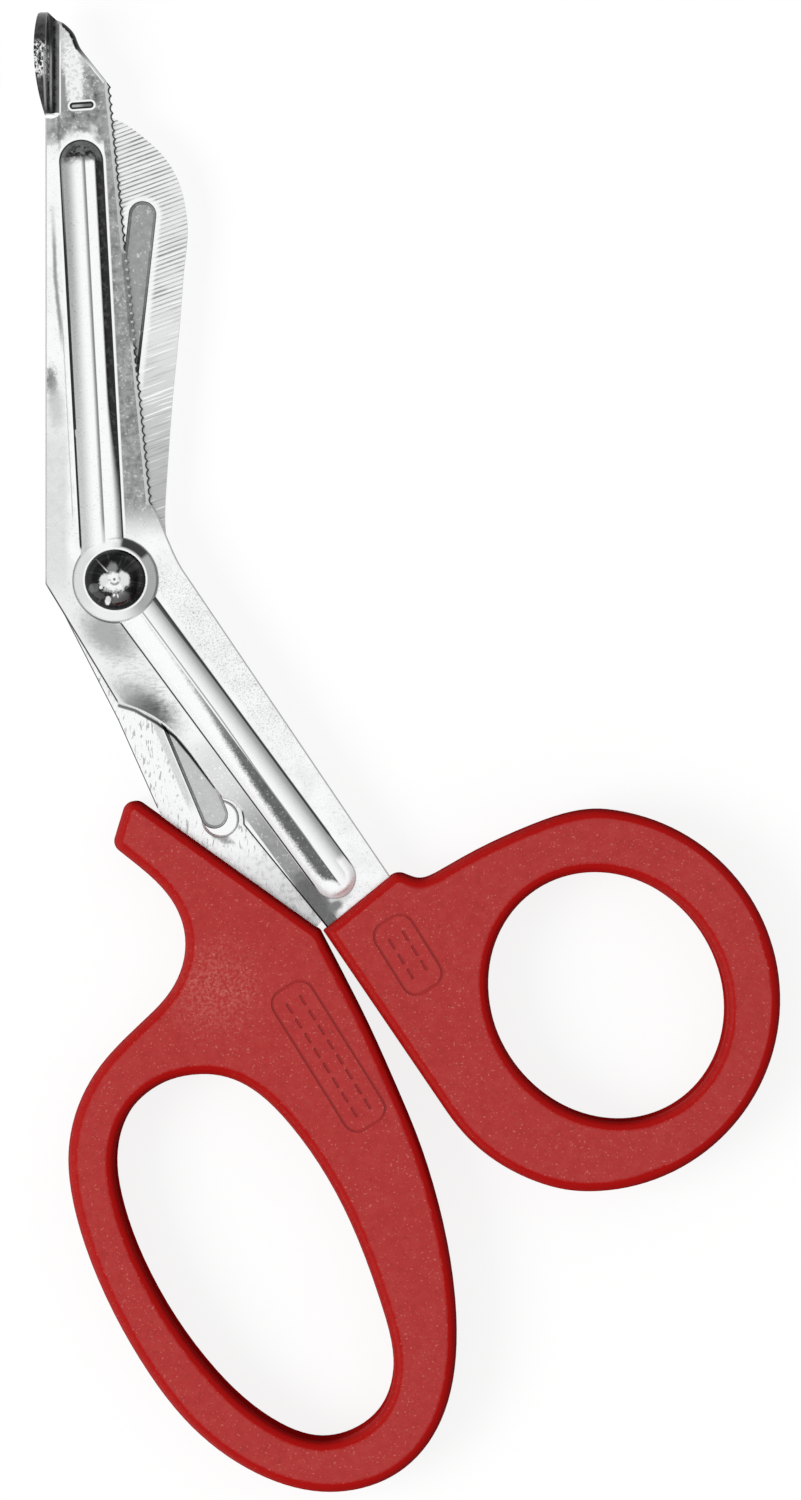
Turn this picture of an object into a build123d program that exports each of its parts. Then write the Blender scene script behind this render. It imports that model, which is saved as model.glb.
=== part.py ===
from build123d import *
import os
from math import atan2, cos, degrees, radians, sin

# Bandage scissors, closed and lying flat: the blades point along +Y and +Z looks up at the
# front blade. Outlines are measured from the pivot's centre, in millimetres.

# Reaches of the blades and handles from the pivot
back_reach = 8.9  # to the straight back of the front blade
foot_bulge = 1.16  # how far the foot's sole stands out past that back
tip_reach = 71.8  # to the tip of the foot
shank_run = 26.1  # sideways to the corner where the handles meet
shank_drop = 44.3  # and down to it
thumb_width = 57.9  # from that corner to the outside of the thumb ring
thumb_rise = 15.3  # from that corner up to the top of the thumb ring
thumb_drop = 32.9  # and down to its lowest point
finger_left_width = 32.0  # from that corner to the finger bow's left side
finger_right_width = 17.05  # and to its right side
finger_drop = 70.9  # and down to its lowest point

# Heights and clearances
handle_thickness = 9.5
sheet_thickness = 1.6
blade_gap = 0.1  # between the two blades
handle_gap = 0.4  # between the closed handles' corners
overrun = 2.0  # how far a cut runs past what it cuts

# Pressed ribs of both blades
rib_width = 5.45
rib_height = 0.95
boss_radius = 5.4
boss_rounding = 0.5
groove_width = 3.5
groove_depth = 0.7
groove_slope = 30  # degrees
groove_ring_radius = 4.1

# Blade edges
rolled_edge = 0.3
nose_rounding = 0.65
tooth_pitch = 1.107
tooth_radius = 0.62
tooth_depth = 0.24
front_bevel_width = 0.75
front_bevel_depth = 0.95
rear_bevel_width = 2.2
rear_bevel_depth = 1.25

# Foot of the front blade
foot_height = 7.7  # above the front blade's inner face
foot_length = 13.1
foot_wall_inset = 0.35  # from the blade's back to the wall's inner face
foot_bend = 1.2
foot_tip_rounding = 0.35
foot_rim_rounding = 0.3
sole_rounding = 1.0
relief_length = 1.3
relief_width = 0.55

# Stamped mark near the foot
mark_length = 2.9
mark_width = 0.7
mark_depth = 0.3
mark_tilt = 4  # degrees

# Stop bump of the rear blade
bump_radius = 2.4
bump_height = 0.55
bump_rounding = 0.45
bump_right = 0.76
bump_down = 0.5

# Tangs inside the handles
seat_depth = 2.5
edge_inset = 0.5
tang_length = 22.0
tang_width = 8.0
tang_end_width = 6.0
tang_rounding = 1.5
anchor_radius = 1.5
anchor_spacing = 9.0

# Pivot rivet and its washer
rivet_radius = 2.2
pivot_clearance = 0.05
dome_radius = 3.85
dome_height = 2.9
dome_rim = 0.3
dimple_radius = 0.4
dimple_depth = 0.12
washer_radius = 4.3
washer_thickness = 0.5
washer_play = 0.05
tail_radius = 3.1
tail_height = 1.05

# Handles
handle_rounding = 1.4
entry_rounding = 1.8
tab_rounding = 1.5
thumb_hole_tilt = 123.6  # degrees from +X to the long axis
panel_line = 0.35
panel_depth = 0.25
panel_rounding = 2.0
panel_tilt = -58  # degrees from +X to the long side
finger_panel_length = 20.8
finger_panel_width = 6.0
finger_panel_x = 0.9
finger_panel_y = 15.8
thumb_panel_length = 10.5
thumb_panel_width = 5.7
thumb_panel_x = 10.9
thumb_panel_y = 3.0
dash_length = 1.5
dash_width = 0.4
dash_pitch = 2.2
dash_row_gap = 2.0

# Outlines as shares of the reaches above
nose_shares = [(-0.855, 0.988), (-0.786, 0.985), (-0.672, 0.975), (-0.595, 0.964), (-0.468, 0.932)]
front_edge_shares = [(-0.072, 0.87), (0.522, 0.132)]
front_heel_shares = [(0.24, 0.137), (0.288, 0.071), (0.327, 0.029)]
front_right_shares = (1.33, -0.845)
front_corner_share = -0.011
front_step_shares = [
    (0.01, -0.352),
    (0.095, -0.368),
    (0.203, -0.401),
    (0.286, -0.441),
    (0.365, -0.496),
    (0.523, -0.623),
]
front_notch_shares = [(0.565, -0.632), (0.6, -0.65), (0.614, -0.67), (0.618, -0.698)]
rear_back_shares = [
    (-0.107, 0.818),
    (0.165, 0.803),
    (0.382, 0.783),
    (0.6, 0.759),
    (0.79, 0.729),
    (0.927, 0.691),
    (0.995, 0.651),
    (1.017, 0.617),
    (0.98, 0.567),
    (0.92, 0.474),
    (0.81, 0.332),
    (0.729, 0.194),
    (0.698, 0.132),
    (0.695, 0.105),
    (0.727, 0.069),
]
rear_heel_shares = (-0.538, 0.132)
rear_left_shares = [(-0.259, -0.091), (0.01, -0.4), (0.199, -0.65)]
rear_right_shares = [(0.262, 0.057), (1.01, -0.965), (0.975, -0.992)]
front_rib_start_share = -0.168
front_rib_tip_shares = (-0.488, 0.737)
front_rib_end_shares = (1.061, -0.849)
rear_rib_start_share = -0.202
rear_rib_tip_shares = (0.376, 0.645)
rear_rib_end_shares = (0.477, -0.671)
mark_shares = (-0.482, 0.8365)
foot_side_shares = [
    (0.0, 0.22),
    (0.08, 0.52),
    (0.3, 0.87),
    (0.55, 1.0),
    (0.8, 0.87),
    (0.96, 0.53),
    (1.0, 0.22),
]
sole_peak_share = 0.63
sole_tip_share = 0.7
front_root_shares = (1.165, -0.924)
front_tang_angle = -54  # degrees from +X
rear_root_shares = (0.7, -0.9)
rear_tang_angle = -63  # degrees from +X
finger_left_shares = [
    (-0.826, 0.152),
    (-0.702, 0.107),
    (-0.592, 0.054),
    (-0.543, 0.0),
    (-0.545, -0.053),
    (-0.596, -0.107),
    (-0.702, -0.16),
    (-0.874, -0.241),
    (-0.968, -0.321),
    (-1.0, -0.41),
    (-0.992, -0.455),
    (-0.933, -0.562),
    (-0.834, -0.669),
    (-0.7, -0.776),
    (-0.514, -0.883),
    (-0.273, -0.963),
]
finger_lowest_share = 0.06
finger_right_shares = [
    (0.575, -0.964),
    (0.798, -0.91),
    (0.946, -0.83),
    (1.0, -0.731),
    (0.954, -0.589),
    (0.857, -0.482),
    (0.716, -0.375),
    (0.531, -0.268),
    (0.33, -0.161),
    (0.16, -0.08),
]
finger_tab_shares = (-0.764, 0.244)
finger_hole_shares = [
    (-0.481, -0.256),
    (-0.332, -0.268),
    (-0.121, -0.348),
    (0.191, -0.508),
    (0.446, -0.669),
    (0.532, -0.767),
    (0.432, -0.857),
    (0.0, -0.908),
    (-0.176, -0.883),
    (-0.448, -0.776),
    (-0.681, -0.616),
    (-0.793, -0.482),
    (-0.814, -0.41),
    (-0.756, -0.321),
    (-0.61, -0.268),
]
thumb_left_shares = [(0.271, -0.691), (0.363, -0.864), (0.494, -0.979), (0.606, -1.0)]
thumb_ring_shares = (1.0, -0.267)
thumb_top_shares = [(0.625, 1.0), (0.457, 0.868), (0.317, 0.62), (0.26, 0.497), (0.216, 0.43)]
thumb_entry_shares = (0.163, 0.49)
thumb_hole_shares = (0.6228, -0.2535)
thumb_hole_long_share = 0.56
thumb_hole_short_share = 0.5

# Derived places and heights
left_reach = back_reach + foot_bulge
right_reach = shank_run + thumb_width
bottom_reach = shank_drop + finger_drop
pivot_x = (left_reach - right_reach) / 2
pivot_y = (bottom_reach - tip_reach) / 2
mid_height = handle_thickness / 2
front_face = mid_height + blade_gap / 2
rear_face = mid_height - blade_gap / 2
rib_radius = (rib_width**2 / 4 + rib_height**2) / (2 * rib_height)
boss_top = front_face + sheet_thickness + rib_height
boss_bottom = rear_face - sheet_thickness - rib_height


def level(height):
    return Plane(origin=(pivot_x, pivot_y, height))


def upright(direction, across, up, height=0.0):
    # A plane that stands at a place and looks along a direction
    return Plane(origin=(pivot_x + across, pivot_y + up, height), x_dir=(0, 0, 1), z_dir=direction)


def on_blade(share):
    return (share[0] * back_reach, share[1] * tip_reach)


def on_shank(share):
    return (share[0] * shank_run, share[1] * shank_drop)


def by_finger(share):
    width = finger_left_width if share[0] < 0 else finger_right_width
    return (shank_run + share[0] * width, share[1] * finger_drop - shank_drop)


def by_thumb(share):
    height = thumb_rise if share[1] > 0 else thumb_drop
    return (shank_run + share[0] * thumb_width, share[1] * height - shank_drop)


def toward(start, end, distance):
    # The point that lies a distance away from the start on its way to the end
    reached = Vector(*start) + (Vector(*end) - Vector(*start)).normalized() * distance
    return (reached.X, reached.Y)


def moved(point, direction, distance):
    # The point that lies a distance away along a direction in degrees
    return (point[0] + distance * cos(radians(direction)), point[1] + distance * sin(radians(direction)))


def pressed_ribs(face, side, ribs):
    # Crowned ribs and the boss round the pivot; side is 1 for upwards and -1 for downwards
    crown = face + side * (sheet_thickness + rib_height)
    with BuildPart() as pressing:
        with BuildSketch(level(face)):
            Circle(boss_radius)
        extrude(amount=side * (sheet_thickness + rib_height))
        rim = pressing.edges().filter_by(GeomType.CIRCLE).sort_by(Axis.Z)[-1 if side > 0 else 0]
        fillet(rim, boss_rounding)
        for start, end in ribs:
            along = Vector(*end) - Vector(*start)
            rib_start = (pivot_x + start[0], pivot_y + start[1], crown - side * rib_radius)
            bar = Plane(origin=rib_start, x_dir=along, z_dir=(0, 0, 1))
            with BuildSketch(bar):
                with BuildLine():
                    Line((0, rib_radius), (along.length, rib_radius))
                    CenterArc((along.length, 0), rib_radius, 0, 90)
                    Polyline((along.length + rib_radius, 0), (0, 0), (0, rib_radius))
                make_face()
            revolve(axis=Axis(bar.origin, along))
        kept = Keep.TOP if side > 0 else Keep.BOTTOM
        split(bisect_by=level(face + side * sheet_thickness / 2), keep=kept)
    return pressing.part


def groove_sketch(face, ribs):
    # The hollow that the pressing leaves on a blade's inner face
    with BuildSketch(level(face)) as groove:
        Circle(groove_ring_radius)
        for start, end in ribs:
            middle = (Vector(*start) + Vector(*end)) / 2
            SlotCenterPoint((middle.X, middle.Y), end, groove_width)
    return groove.sketch


def bevel_sketch(start, end, height, width, depth, side):
    # The wedge to grind off a cutting edge; side is 1 above on the right and -1 below on the left
    with BuildSketch(upright(Vector(*end) - Vector(*start), *start, height)) as wedge:
        with BuildLine():
            Polyline(
                (0, -side * width),
                (-side * depth * (1 + overrun / width), side * overrun),
                (side * overrun, side * overrun),
                (side * overrun, -side * width),
                close=True,
            )
        make_face()
    return wedge.sketch


def tang_sketch(face, root, direction):
    # A tapered tongue with anchor holes, which starts inside the sheet that carries it
    along = (cos(radians(direction)), sin(radians(direction)), 0)
    tongue = Plane(origin=(pivot_x + root[0], pivot_y + root[1], face), x_dir=along, z_dir=(0, 0, 1))
    with BuildSketch(tongue) as tang:
        with BuildLine():
            Polyline(
                (0, tang_width / 2),
                (tang_length, tang_end_width / 2),
                (tang_length, -tang_end_width / 2),
                (0, -tang_width / 2),
                close=True,
            )
        make_face()
        fillet(tang.vertices().group_by(Axis.X)[-1], tang_rounding)
        far_anchor = tang_length - tang_end_width / 2
        with Locations((far_anchor, 0), (far_anchor - anchor_spacing, 0)):
            Circle(anchor_radius, mode=Mode.SUBTRACT)
    return tang.sketch


front_ribs = [
    ((front_rib_start_share * back_reach, 0), on_blade(front_rib_tip_shares)),
    ((0, 0), on_shank(front_rib_end_shares)),
]
rear_ribs = [
    ((rear_rib_start_share * back_reach, 0), on_blade(rear_rib_tip_shares)),
    ((0, 0), on_shank(rear_rib_end_shares)),
]
front_pressing = pressed_ribs(front_face, 1, front_ribs)
rear_pressing = pressed_ribs(rear_face, -1, rear_ribs)

# Foot: a wall bent up from the front blade's back, with a curved sole and an arched rim
foot_start = tip_reach - foot_length
wall_face = -back_reach + foot_wall_inset
sheet_start = wall_face + foot_bend
sole_tip = -back_reach - sole_tip_share * foot_bulge
across_tip = Plane(origin=(pivot_x, pivot_y + tip_reach, front_face), x_dir=(1, 0, 0), z_dir=(0, -1, 0))
beside_foot = Plane(
    origin=(pivot_x - left_reach - overrun, pivot_y + foot_start, front_face),
    x_dir=(0, 1, 0),
    z_dir=(1, 0, 0),
)
with BuildPart() as foot:
    with BuildSketch(level(front_face)):
        with BuildLine():
            Line((sheet_start, foot_start), (-back_reach, foot_start))
            ThreePointArc(
                (-back_reach, foot_start),
                (-left_reach, foot_start + sole_peak_share * foot_length),
                (sole_tip, tip_reach - foot_tip_rounding),
            )
            Polyline(
                (sole_tip, tip_reach - foot_tip_rounding),
                (sole_tip + foot_tip_rounding, tip_reach),
                (wall_face, tip_reach),
                (sheet_start, nose_shares[1][1] * tip_reach),
                (sheet_start, foot_start),
            )
        make_face()
    extrude(amount=foot_height + overrun)
    fillet(foot.edges().group_by(Axis.Z)[0].sort_by(Axis.X)[:2], sole_rounding)
    with BuildSketch(across_tip):
        with BuildLine():
            Polyline(
                (wall_face, sheet_thickness + foot_bend),
                (wall_face, foot_height + 2 * overrun),
                (sheet_start + overrun, foot_height + 2 * overrun),
                (sheet_start + overrun, sheet_thickness),
                (sheet_start, sheet_thickness),
            )
            RadiusArc((wall_face, sheet_thickness + foot_bend), (sheet_start, sheet_thickness), -foot_bend)
        make_face()
    extrude(amount=foot_length, mode=Mode.SUBTRACT)
    with BuildSketch(beside_foot):
        with BuildLine():
            side = [(share[0] * foot_length, share[1] * foot_height) for share in foot_side_shares]
            Spline(*side)
            Polyline(side[-1], (foot_length, 0), (0, 0), side[0])
        make_face()
    extrude(amount=left_reach + overrun, mode=Mode.INTERSECT)
    fillet(foot.edges().sort_by(Axis.Z)[-1], foot_rim_rounding)

nose = [on_blade(share) for share in nose_shares]
front_edge_top, front_edge_end = [on_blade(share) for share in front_edge_shares]
front_edge = Vector(*front_edge_end) - Vector(*front_edge_top)
front_edge_angle = degrees(atan2(front_edge.Y, front_edge.X))
front_heel = [on_shank(share) for share in front_heel_shares]
front_right = on_shank(front_right_shares)
front_left = toward((shank_run, -shank_drop), front_right, edge_inset + handle_gap / 2)
front_step = [on_shank(share) for share in front_step_shares]
front_notch = [on_shank(share) for share in front_notch_shares]
front_bevel = bevel_sketch(
    front_edge_end, front_edge_top, front_face + sheet_thickness, front_bevel_width, front_bevel_depth, 1
)
front_groove = groove_sketch(front_face, front_ribs)
front_tang = tang_sketch(front_face, on_shank(front_root_shares), front_tang_angle)

with BuildPart() as serrated_blade:
    with BuildSketch(level(front_face)):
        with BuildLine():
            Polyline(
                nose[0],
                (nose[0][0], foot_start),
                (-back_reach, foot_start),
                (-back_reach, front_corner_share * shank_drop),
                front_step[0],
            )
            Spline(*front_step)
            Spline(front_step[-1], *front_notch)
            Polyline(
                front_notch[-1],
                front_left,
                moved(front_left, front_tang_angle, seat_depth),
                moved(front_right, front_tang_angle, seat_depth),
                front_right,
                front_heel[-1],
            )
            Spline(*reversed(front_heel), front_edge_end)
            Polyline(front_edge_end, front_edge_top, nose[-1])
            nose_run = Vector(*nose[1]) - Vector(*nose[0])
            Spline(*nose, tangents=(nose_run, Vector(*front_edge_top) - Vector(*nose[-1])))
        make_face()
    extrude(amount=sheet_thickness)
    outer_edges = serrated_blade.faces().sort_by(Axis.Z)[-1].edges()
    fillet(outer_edges.sort_by(Axis.Y)[-1], nose_rounding)
    outer_edges = serrated_blade.faces().filter_by(Plane.XY).sort_by(Axis.Z)[-1].edges()
    below_teeth = [edge for edge in outer_edges if edge.center().Y < pivot_y + front_edge_end[1]]
    long_back = [edge for edge in outer_edges if edge.center().X < pivot_x - back_reach + rolled_edge]
    fillet(below_teeth + long_back, rolled_edge)
    extrude(front_bevel, amount=front_edge.length + overrun, mode=Mode.SUBTRACT)
    with BuildSketch(level(front_face)):
        for tooth in range(int(front_edge.length / tooth_pitch)):
            spot = moved(front_edge_top, front_edge_angle, tooth_pitch * (tooth + 0.5))
            with Locations(moved(spot, front_edge_angle + 90, tooth_radius - tooth_depth)):
                Circle(tooth_radius)
    extrude(amount=sheet_thickness, mode=Mode.SUBTRACT)
    add(foot.part)
    add(front_pressing)
    extrude(front_tang, amount=sheet_thickness)
    extrude(front_groove, amount=groove_depth, taper=groove_slope, mode=Mode.SUBTRACT)
    with BuildSketch(level(front_face)):
        Circle(rivet_radius)
    extrude(amount=sheet_thickness + rib_height, mode=Mode.SUBTRACT)
    with BuildSketch(level(front_face + sheet_thickness)):
        with Locations(on_blade(mark_shares)):
            SlotOverall(mark_length, mark_width, rotation=mark_tilt)
    extrude(amount=-mark_depth, mode=Mode.SUBTRACT)
    with BuildSketch(level(front_face)):
        with Locations((wall_face + relief_width / 2, foot_start)):
            SlotOverall(relief_length, relief_width)
    extrude(amount=foot_height, mode=Mode.SUBTRACT)

rear_back = [on_blade(share) for share in rear_back_shares]
rear_edge_end = on_blade(rear_heel_shares)
rear_edge = Vector(*rear_back[0]) - Vector(*rear_edge_end)
rear_left = [on_shank(share) for share in rear_left_shares]
rear_right = [on_shank(share) for share in rear_right_shares]
rear_groove_end = on_shank(rear_rib_end_shares)
rear_bevel = bevel_sketch(
    rear_edge_end, rear_back[0], rear_face - sheet_thickness, rear_bevel_width, rear_bevel_depth, -1
)
rear_groove = groove_sketch(rear_face, rear_ribs)
rear_tang = tang_sketch(rear_face, on_shank(rear_root_shares), rear_tang_angle)

with BuildPart() as plain_blade:
    with BuildSketch(level(rear_face)):
        with BuildLine():
            Spline(*rear_back)
            Polyline(
                rear_back[-1],
                *rear_right,
                moved(rear_right[-1], rear_tang_angle, seat_depth),
                moved(rear_left[-1], rear_tang_angle, seat_depth),
                *reversed(rear_left),
                rear_edge_end,
                rear_back[0],
            )
        make_face()
    extrude(amount=-sheet_thickness)
    extrude(rear_bevel, amount=rear_edge.length, mode=Mode.SUBTRACT)
    with BuildSketch(level(rear_face)):
        with Locations((rear_groove_end[0] + bump_right, rear_groove_end[1] - bump_down)):
            Circle(bump_radius)
    extrude(amount=bump_height)
    fillet(plain_blade.edges().sort_by(Axis.Z)[-1], bump_rounding)
    add(rear_pressing)
    extrude(rear_tang, amount=-sheet_thickness)
    extrude(rear_groove, amount=-groove_depth, taper=groove_slope, mode=Mode.SUBTRACT)
    extrude(rear_groove, amount=bump_height, mode=Mode.SUBTRACT)
    with BuildSketch(level(rear_face)):
        Circle(rivet_radius + pivot_clearance)
    extrude(amount=-sheet_thickness - rib_height, mode=Mode.SUBTRACT)

# Rivet: a domed head on the front boss, a shank through both blades and a rounded tail
washer_top = boss_bottom - washer_play
tail_top = washer_top - washer_thickness
tail_bottom = tail_top - tail_height
dome_top = boss_top + dome_height
dome_rise = dome_height - dome_rim
dimple_sphere = (dimple_radius**2 + dimple_depth**2) / (2 * dimple_depth)
with BuildPart() as pivot_rivet:
    with BuildSketch(Plane(origin=(pivot_x, pivot_y, 0), x_dir=(1, 0, 0), z_dir=(0, -1, 0))):
        with BuildLine():
            Polyline(
                (tail_radius, tail_top),
                (rivet_radius, tail_top),
                (rivet_radius, boss_top),
                (dome_radius, boss_top),
                (dome_radius, boss_top + dome_rim),
            )
            RadiusArc(
                (dome_radius, boss_top + dome_rim),
                (0, dome_top),
                -(dome_radius**2 + dome_rise**2) / (2 * dome_rise),
            )
            Line((0, dome_top), (0, tail_bottom))
            RadiusArc(
                (0, tail_bottom),
                (tail_radius, tail_top),
                -(tail_radius**2 + tail_height**2) / (2 * tail_height),
            )
        make_face()
    revolve(axis=Axis((pivot_x, pivot_y, 0), (0, 0, 1)))
    with Locations((pivot_x, pivot_y, dome_top + dimple_sphere - dimple_depth)):
        Sphere(dimple_sphere, mode=Mode.SUBTRACT)

with BuildPart() as rivet_washer:
    with BuildSketch(level(washer_top)):
        Circle(washer_radius)
        Circle(rivet_radius, mode=Mode.SUBTRACT)
    extrude(amount=-washer_thickness)

thumb_corner = (shank_run + handle_gap / 2, -shank_drop)
thumb_entry = by_thumb(thumb_entry_shares)
thumb_top = [by_thumb(share) for share in thumb_top_shares]
thumb_left = [by_thumb(share) for share in thumb_left_shares]


def at_entry(edge):
    # True for the upright edge where the front blade's right side enters the thumb handle
    return abs(edge.center().X - pivot_x - thumb_entry[0]) < entry_rounding


def panel_sketch(length, width, across, down):
    # Grooved outline of a rounded panel with two rows of plain dashes
    panel = Plane(
        origin=(pivot_x + shank_run + across, pivot_y - shank_drop - down, handle_thickness),
        x_dir=(cos(radians(panel_tilt)), sin(radians(panel_tilt)), 0),
        z_dir=(0, 0, 1),
    )
    with BuildSketch(panel) as grooves:
        border = RectangleRounded(length, width, panel_rounding)
        offset(border, -panel_line, mode=Mode.SUBTRACT)
        with GridLocations(dash_pitch, dash_row_gap, int((length - panel_rounding) / dash_pitch), 2):
            SlotOverall(dash_length, dash_width)
    return grooves.sketch


thumb_panel = panel_sketch(thumb_panel_length, thumb_panel_width, thumb_panel_x, thumb_panel_y)
finger_panel = panel_sketch(finger_panel_length, finger_panel_width, finger_panel_x, finger_panel_y)

with BuildPart() as thumb_handle:
    with BuildSketch(level(0)):
        with BuildLine():
            ring = ThreePointArc(thumb_left[-1], by_thumb(thumb_ring_shares), thumb_top[0])
            into_entry = Vector(*thumb_entry) - Vector(*thumb_top[-1])
            Spline(*thumb_top, thumb_entry, tangents=(ring % 1, into_entry))
            Polyline(thumb_entry, thumb_corner, thumb_left[0])
            Spline(*thumb_left, tangents=(Vector(*thumb_left[0]) - Vector(*thumb_corner), ring % 0))
        make_face()
        with Locations(by_thumb(thumb_hole_shares)):
            Ellipse(
                thumb_hole_long_share * thumb_width / 2,
                thumb_hole_short_share * thumb_width / 2,
                rotation=thumb_hole_tilt,
                mode=Mode.SUBTRACT,
            )
    extrude(amount=handle_thickness)
    fillet(thumb_handle.edges().filter_by(Axis.Z).filter_by(at_entry), entry_rounding)
    fillet(thumb_handle.edges().filter_by(Axis.Z, reverse=True), handle_rounding)
    extrude(thumb_panel, amount=-panel_depth, mode=Mode.SUBTRACT)
    add(serrated_blade.part, mode=Mode.SUBTRACT)

finger_corner = (shank_run - handle_gap / 2, -shank_drop)
finger_tab = by_finger(finger_tab_shares)
finger_left = [by_finger(share) for share in finger_left_shares]
finger_right = [by_finger(share) for share in finger_right_shares]

with BuildPart() as finger_handle:
    with BuildSketch(level(0)):
        with BuildLine():
            Spline(*finger_left, by_finger((finger_lowest_share, -1.0)), *finger_right, finger_corner)
            Polyline(finger_corner, finger_tab, finger_left[0])
        make_face()
        with BuildLine():
            Spline(*[by_finger(share) for share in finger_hole_shares], periodic=True)
        make_face(mode=Mode.SUBTRACT)
    extrude(amount=handle_thickness)
    fillet(finger_handle.edges().filter_by(Axis.Z).sort_by(Axis.X)[:2], tab_rounding)
    fillet(finger_handle.edges().filter_by(Axis.Z, reverse=True), handle_rounding)
    extrude(finger_panel, amount=-panel_depth, mode=Mode.SUBTRACT)
    add(plain_blade.part, mode=Mode.SUBTRACT)

serrated_blade.part.label = "serrated_blade"
plain_blade.part.label = "plain_blade"
thumb_handle.part.label = "thumb_handle"
finger_handle.part.label = "finger_handle"
pivot_rivet.part.label = "pivot_rivet"
rivet_washer.part.label = "rivet_washer"

os.makedirs("parts", exist_ok=True)
export_step(serrated_blade.part, "parts/serrated_blade.step")
export_step(plain_blade.part, "parts/plain_blade.step")
export_step(thumb_handle.part, "parts/thumb_handle.step")
export_step(finger_handle.part, "parts/finger_handle.step")
export_step(pivot_rivet.part, "parts/pivot_rivet.step")
export_step(rivet_washer.part, "parts/rivet_washer.step")
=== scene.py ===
import math

import bpy
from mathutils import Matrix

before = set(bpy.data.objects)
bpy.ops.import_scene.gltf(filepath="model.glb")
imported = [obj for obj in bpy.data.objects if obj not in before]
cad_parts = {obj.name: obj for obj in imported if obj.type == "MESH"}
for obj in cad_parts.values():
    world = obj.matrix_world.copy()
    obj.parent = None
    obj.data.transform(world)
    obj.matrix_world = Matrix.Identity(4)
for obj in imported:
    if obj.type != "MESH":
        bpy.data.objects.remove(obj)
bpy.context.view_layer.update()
print("frame loaded:", ", ".join(sorted(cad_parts)))

pivotPlace = (-36.97, 21.7)  # the rivet's centre in millimetres; patterns are measured from it
millimetre = 0.001


class Channel:
    # a socket that can be used in sums; each operator adds one Math node
    def __init__(self, graph, socket):
        self.graph = graph
        self.socket = socket

    def join(self, operation, first, second):
        return self.graph.node("ShaderNodeMath", {"operation": operation}, {0: first, 1: second})

    def __add__(self, other):
        return self.join("ADD", self, other)

    def __sub__(self, other):
        return self.join("SUBTRACT", self, other)

    def __rsub__(self, other):
        return self.join("SUBTRACT", other, self)

    def __mul__(self, other):
        return self.join("MULTIPLY", self, other)

    def __truediv__(self, other):
        return self.join("DIVIDE", self, other)

    def __neg__(self):
        return self.join("MULTIPLY", self, -1.0)

    def __abs__(self):
        return self.join("ABSOLUTE", self, 0.0)

    __radd__ = __add__
    __rmul__ = __mul__

    def larger(self, other):
        return self.join("MAXIMUM", self, other)

    def smaller(self, other):
        return self.join("MINIMUM", self, other)

    def power(self, other):
        return self.join("POWER", self, other)

    def fraction(self):
        return self.join("FRACT", self, 0.0)

    def sine(self):
        return self.join("SINE", self, 0.0)

    def angle(self, across):
        return self.join("ARCTAN2", self, across)


class Graph:
    # a node tree and the few node calls that every pattern below is made of
    def __init__(self, tree):
        self.tree = tree

    def node(self, kind, settings=None, sockets=None, out=0):
        made = self.tree.nodes.new(kind)
        for name, value in (settings or {}).items():
            if name == "stops":
                ramp = made.color_ramp
                while len(ramp.elements) < len(value):
                    ramp.elements.new(0.5)
                for element, (position, shade) in zip(ramp.elements, value):
                    element.position = position
                    element.color = (*shade, 1.0)
            else:
                setattr(made, name, value)
        for key, value in (sockets or {}).items():
            if isinstance(value, Channel):
                self.tree.links.new(value.socket, made.inputs[key])
            else:
                made.inputs[key].default_value = value
        return Channel(self, made.outputs[out])

    def parts(self, vector):
        split = self.node("ShaderNodeSeparateXYZ", None, {0: vector}).socket.node
        return [Channel(self, split.outputs[axis]) for axis in range(3)]

    def vector(self, operation, *values, out="Vector"):
        return self.node("ShaderNodeVectorMath", {"operation": operation}, dict(enumerate(values)), out)

    def scaled(self, vector, factor):
        return self.node("ShaderNodeVectorMath", {"operation": "SCALE"}, {0: vector, "Scale": factor})

    def noise(self, vector, scale, detail=2.0, rough=0.5):
        if isinstance(scale, tuple):
            vector = self.vector("MULTIPLY", vector, scale)
            scale = 1.0
        sockets = {"Vector": vector, "Scale": scale, "Detail": detail, "Roughness": rough}
        return self.node("ShaderNodeTexNoise", None, sockets)

    def step(self, value, low, high, start=0.0, end=1.0):
        # a soft step: start below low, end above high
        sockets = {"Value": value, "From Min": low, "From Max": high, "To Min": start, "To Max": end}
        return self.node("ShaderNodeMapRange", {"interpolation_type": "SMOOTHSTEP"}, sockets)

    def fall(self, value, low, high):
        return self.step(value, low, high, 1.0, 0.0)

    def band(self, value, low, high, soft):
        # 1 between low and high, 0 outside, with soft edges
        return self.step(value, low - soft, low + soft) * self.fall(value, high - soft, high + soft)

    def cover(self, shade, value, mask):
        # lays a value over a shade where the mask is 1
        return shade + (value - shade) * mask

    def blend(self, factor, first, second):
        sockets = {"Factor": factor, 6: first, 7: second}
        return self.node("ShaderNodeMix", {"data_type": "RGBA"}, sockets, out=2)

    def bump(self, height, strength, distance):
        sockets = {"Height": height, "Strength": strength, "Distance": distance * millimetre}
        return self.node("ShaderNodeBump", None, sockets)


class Finish(Graph):
    # one material
    def __init__(self, name):
        self.material = bpy.data.materials.new(name)
        self.material.use_nodes = True
        super().__init__(self.material.node_tree)
        self.shader = self.tree.nodes["Principled BSDF"]

    def wear(self, sockets):
        # sends values and links into the shader's own sockets
        for name, value in sockets.items():
            if isinstance(value, Channel):
                self.tree.links.new(value.socket, self.shader.inputs[name])
            else:
                self.shader.inputs[name].default_value = value


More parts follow.
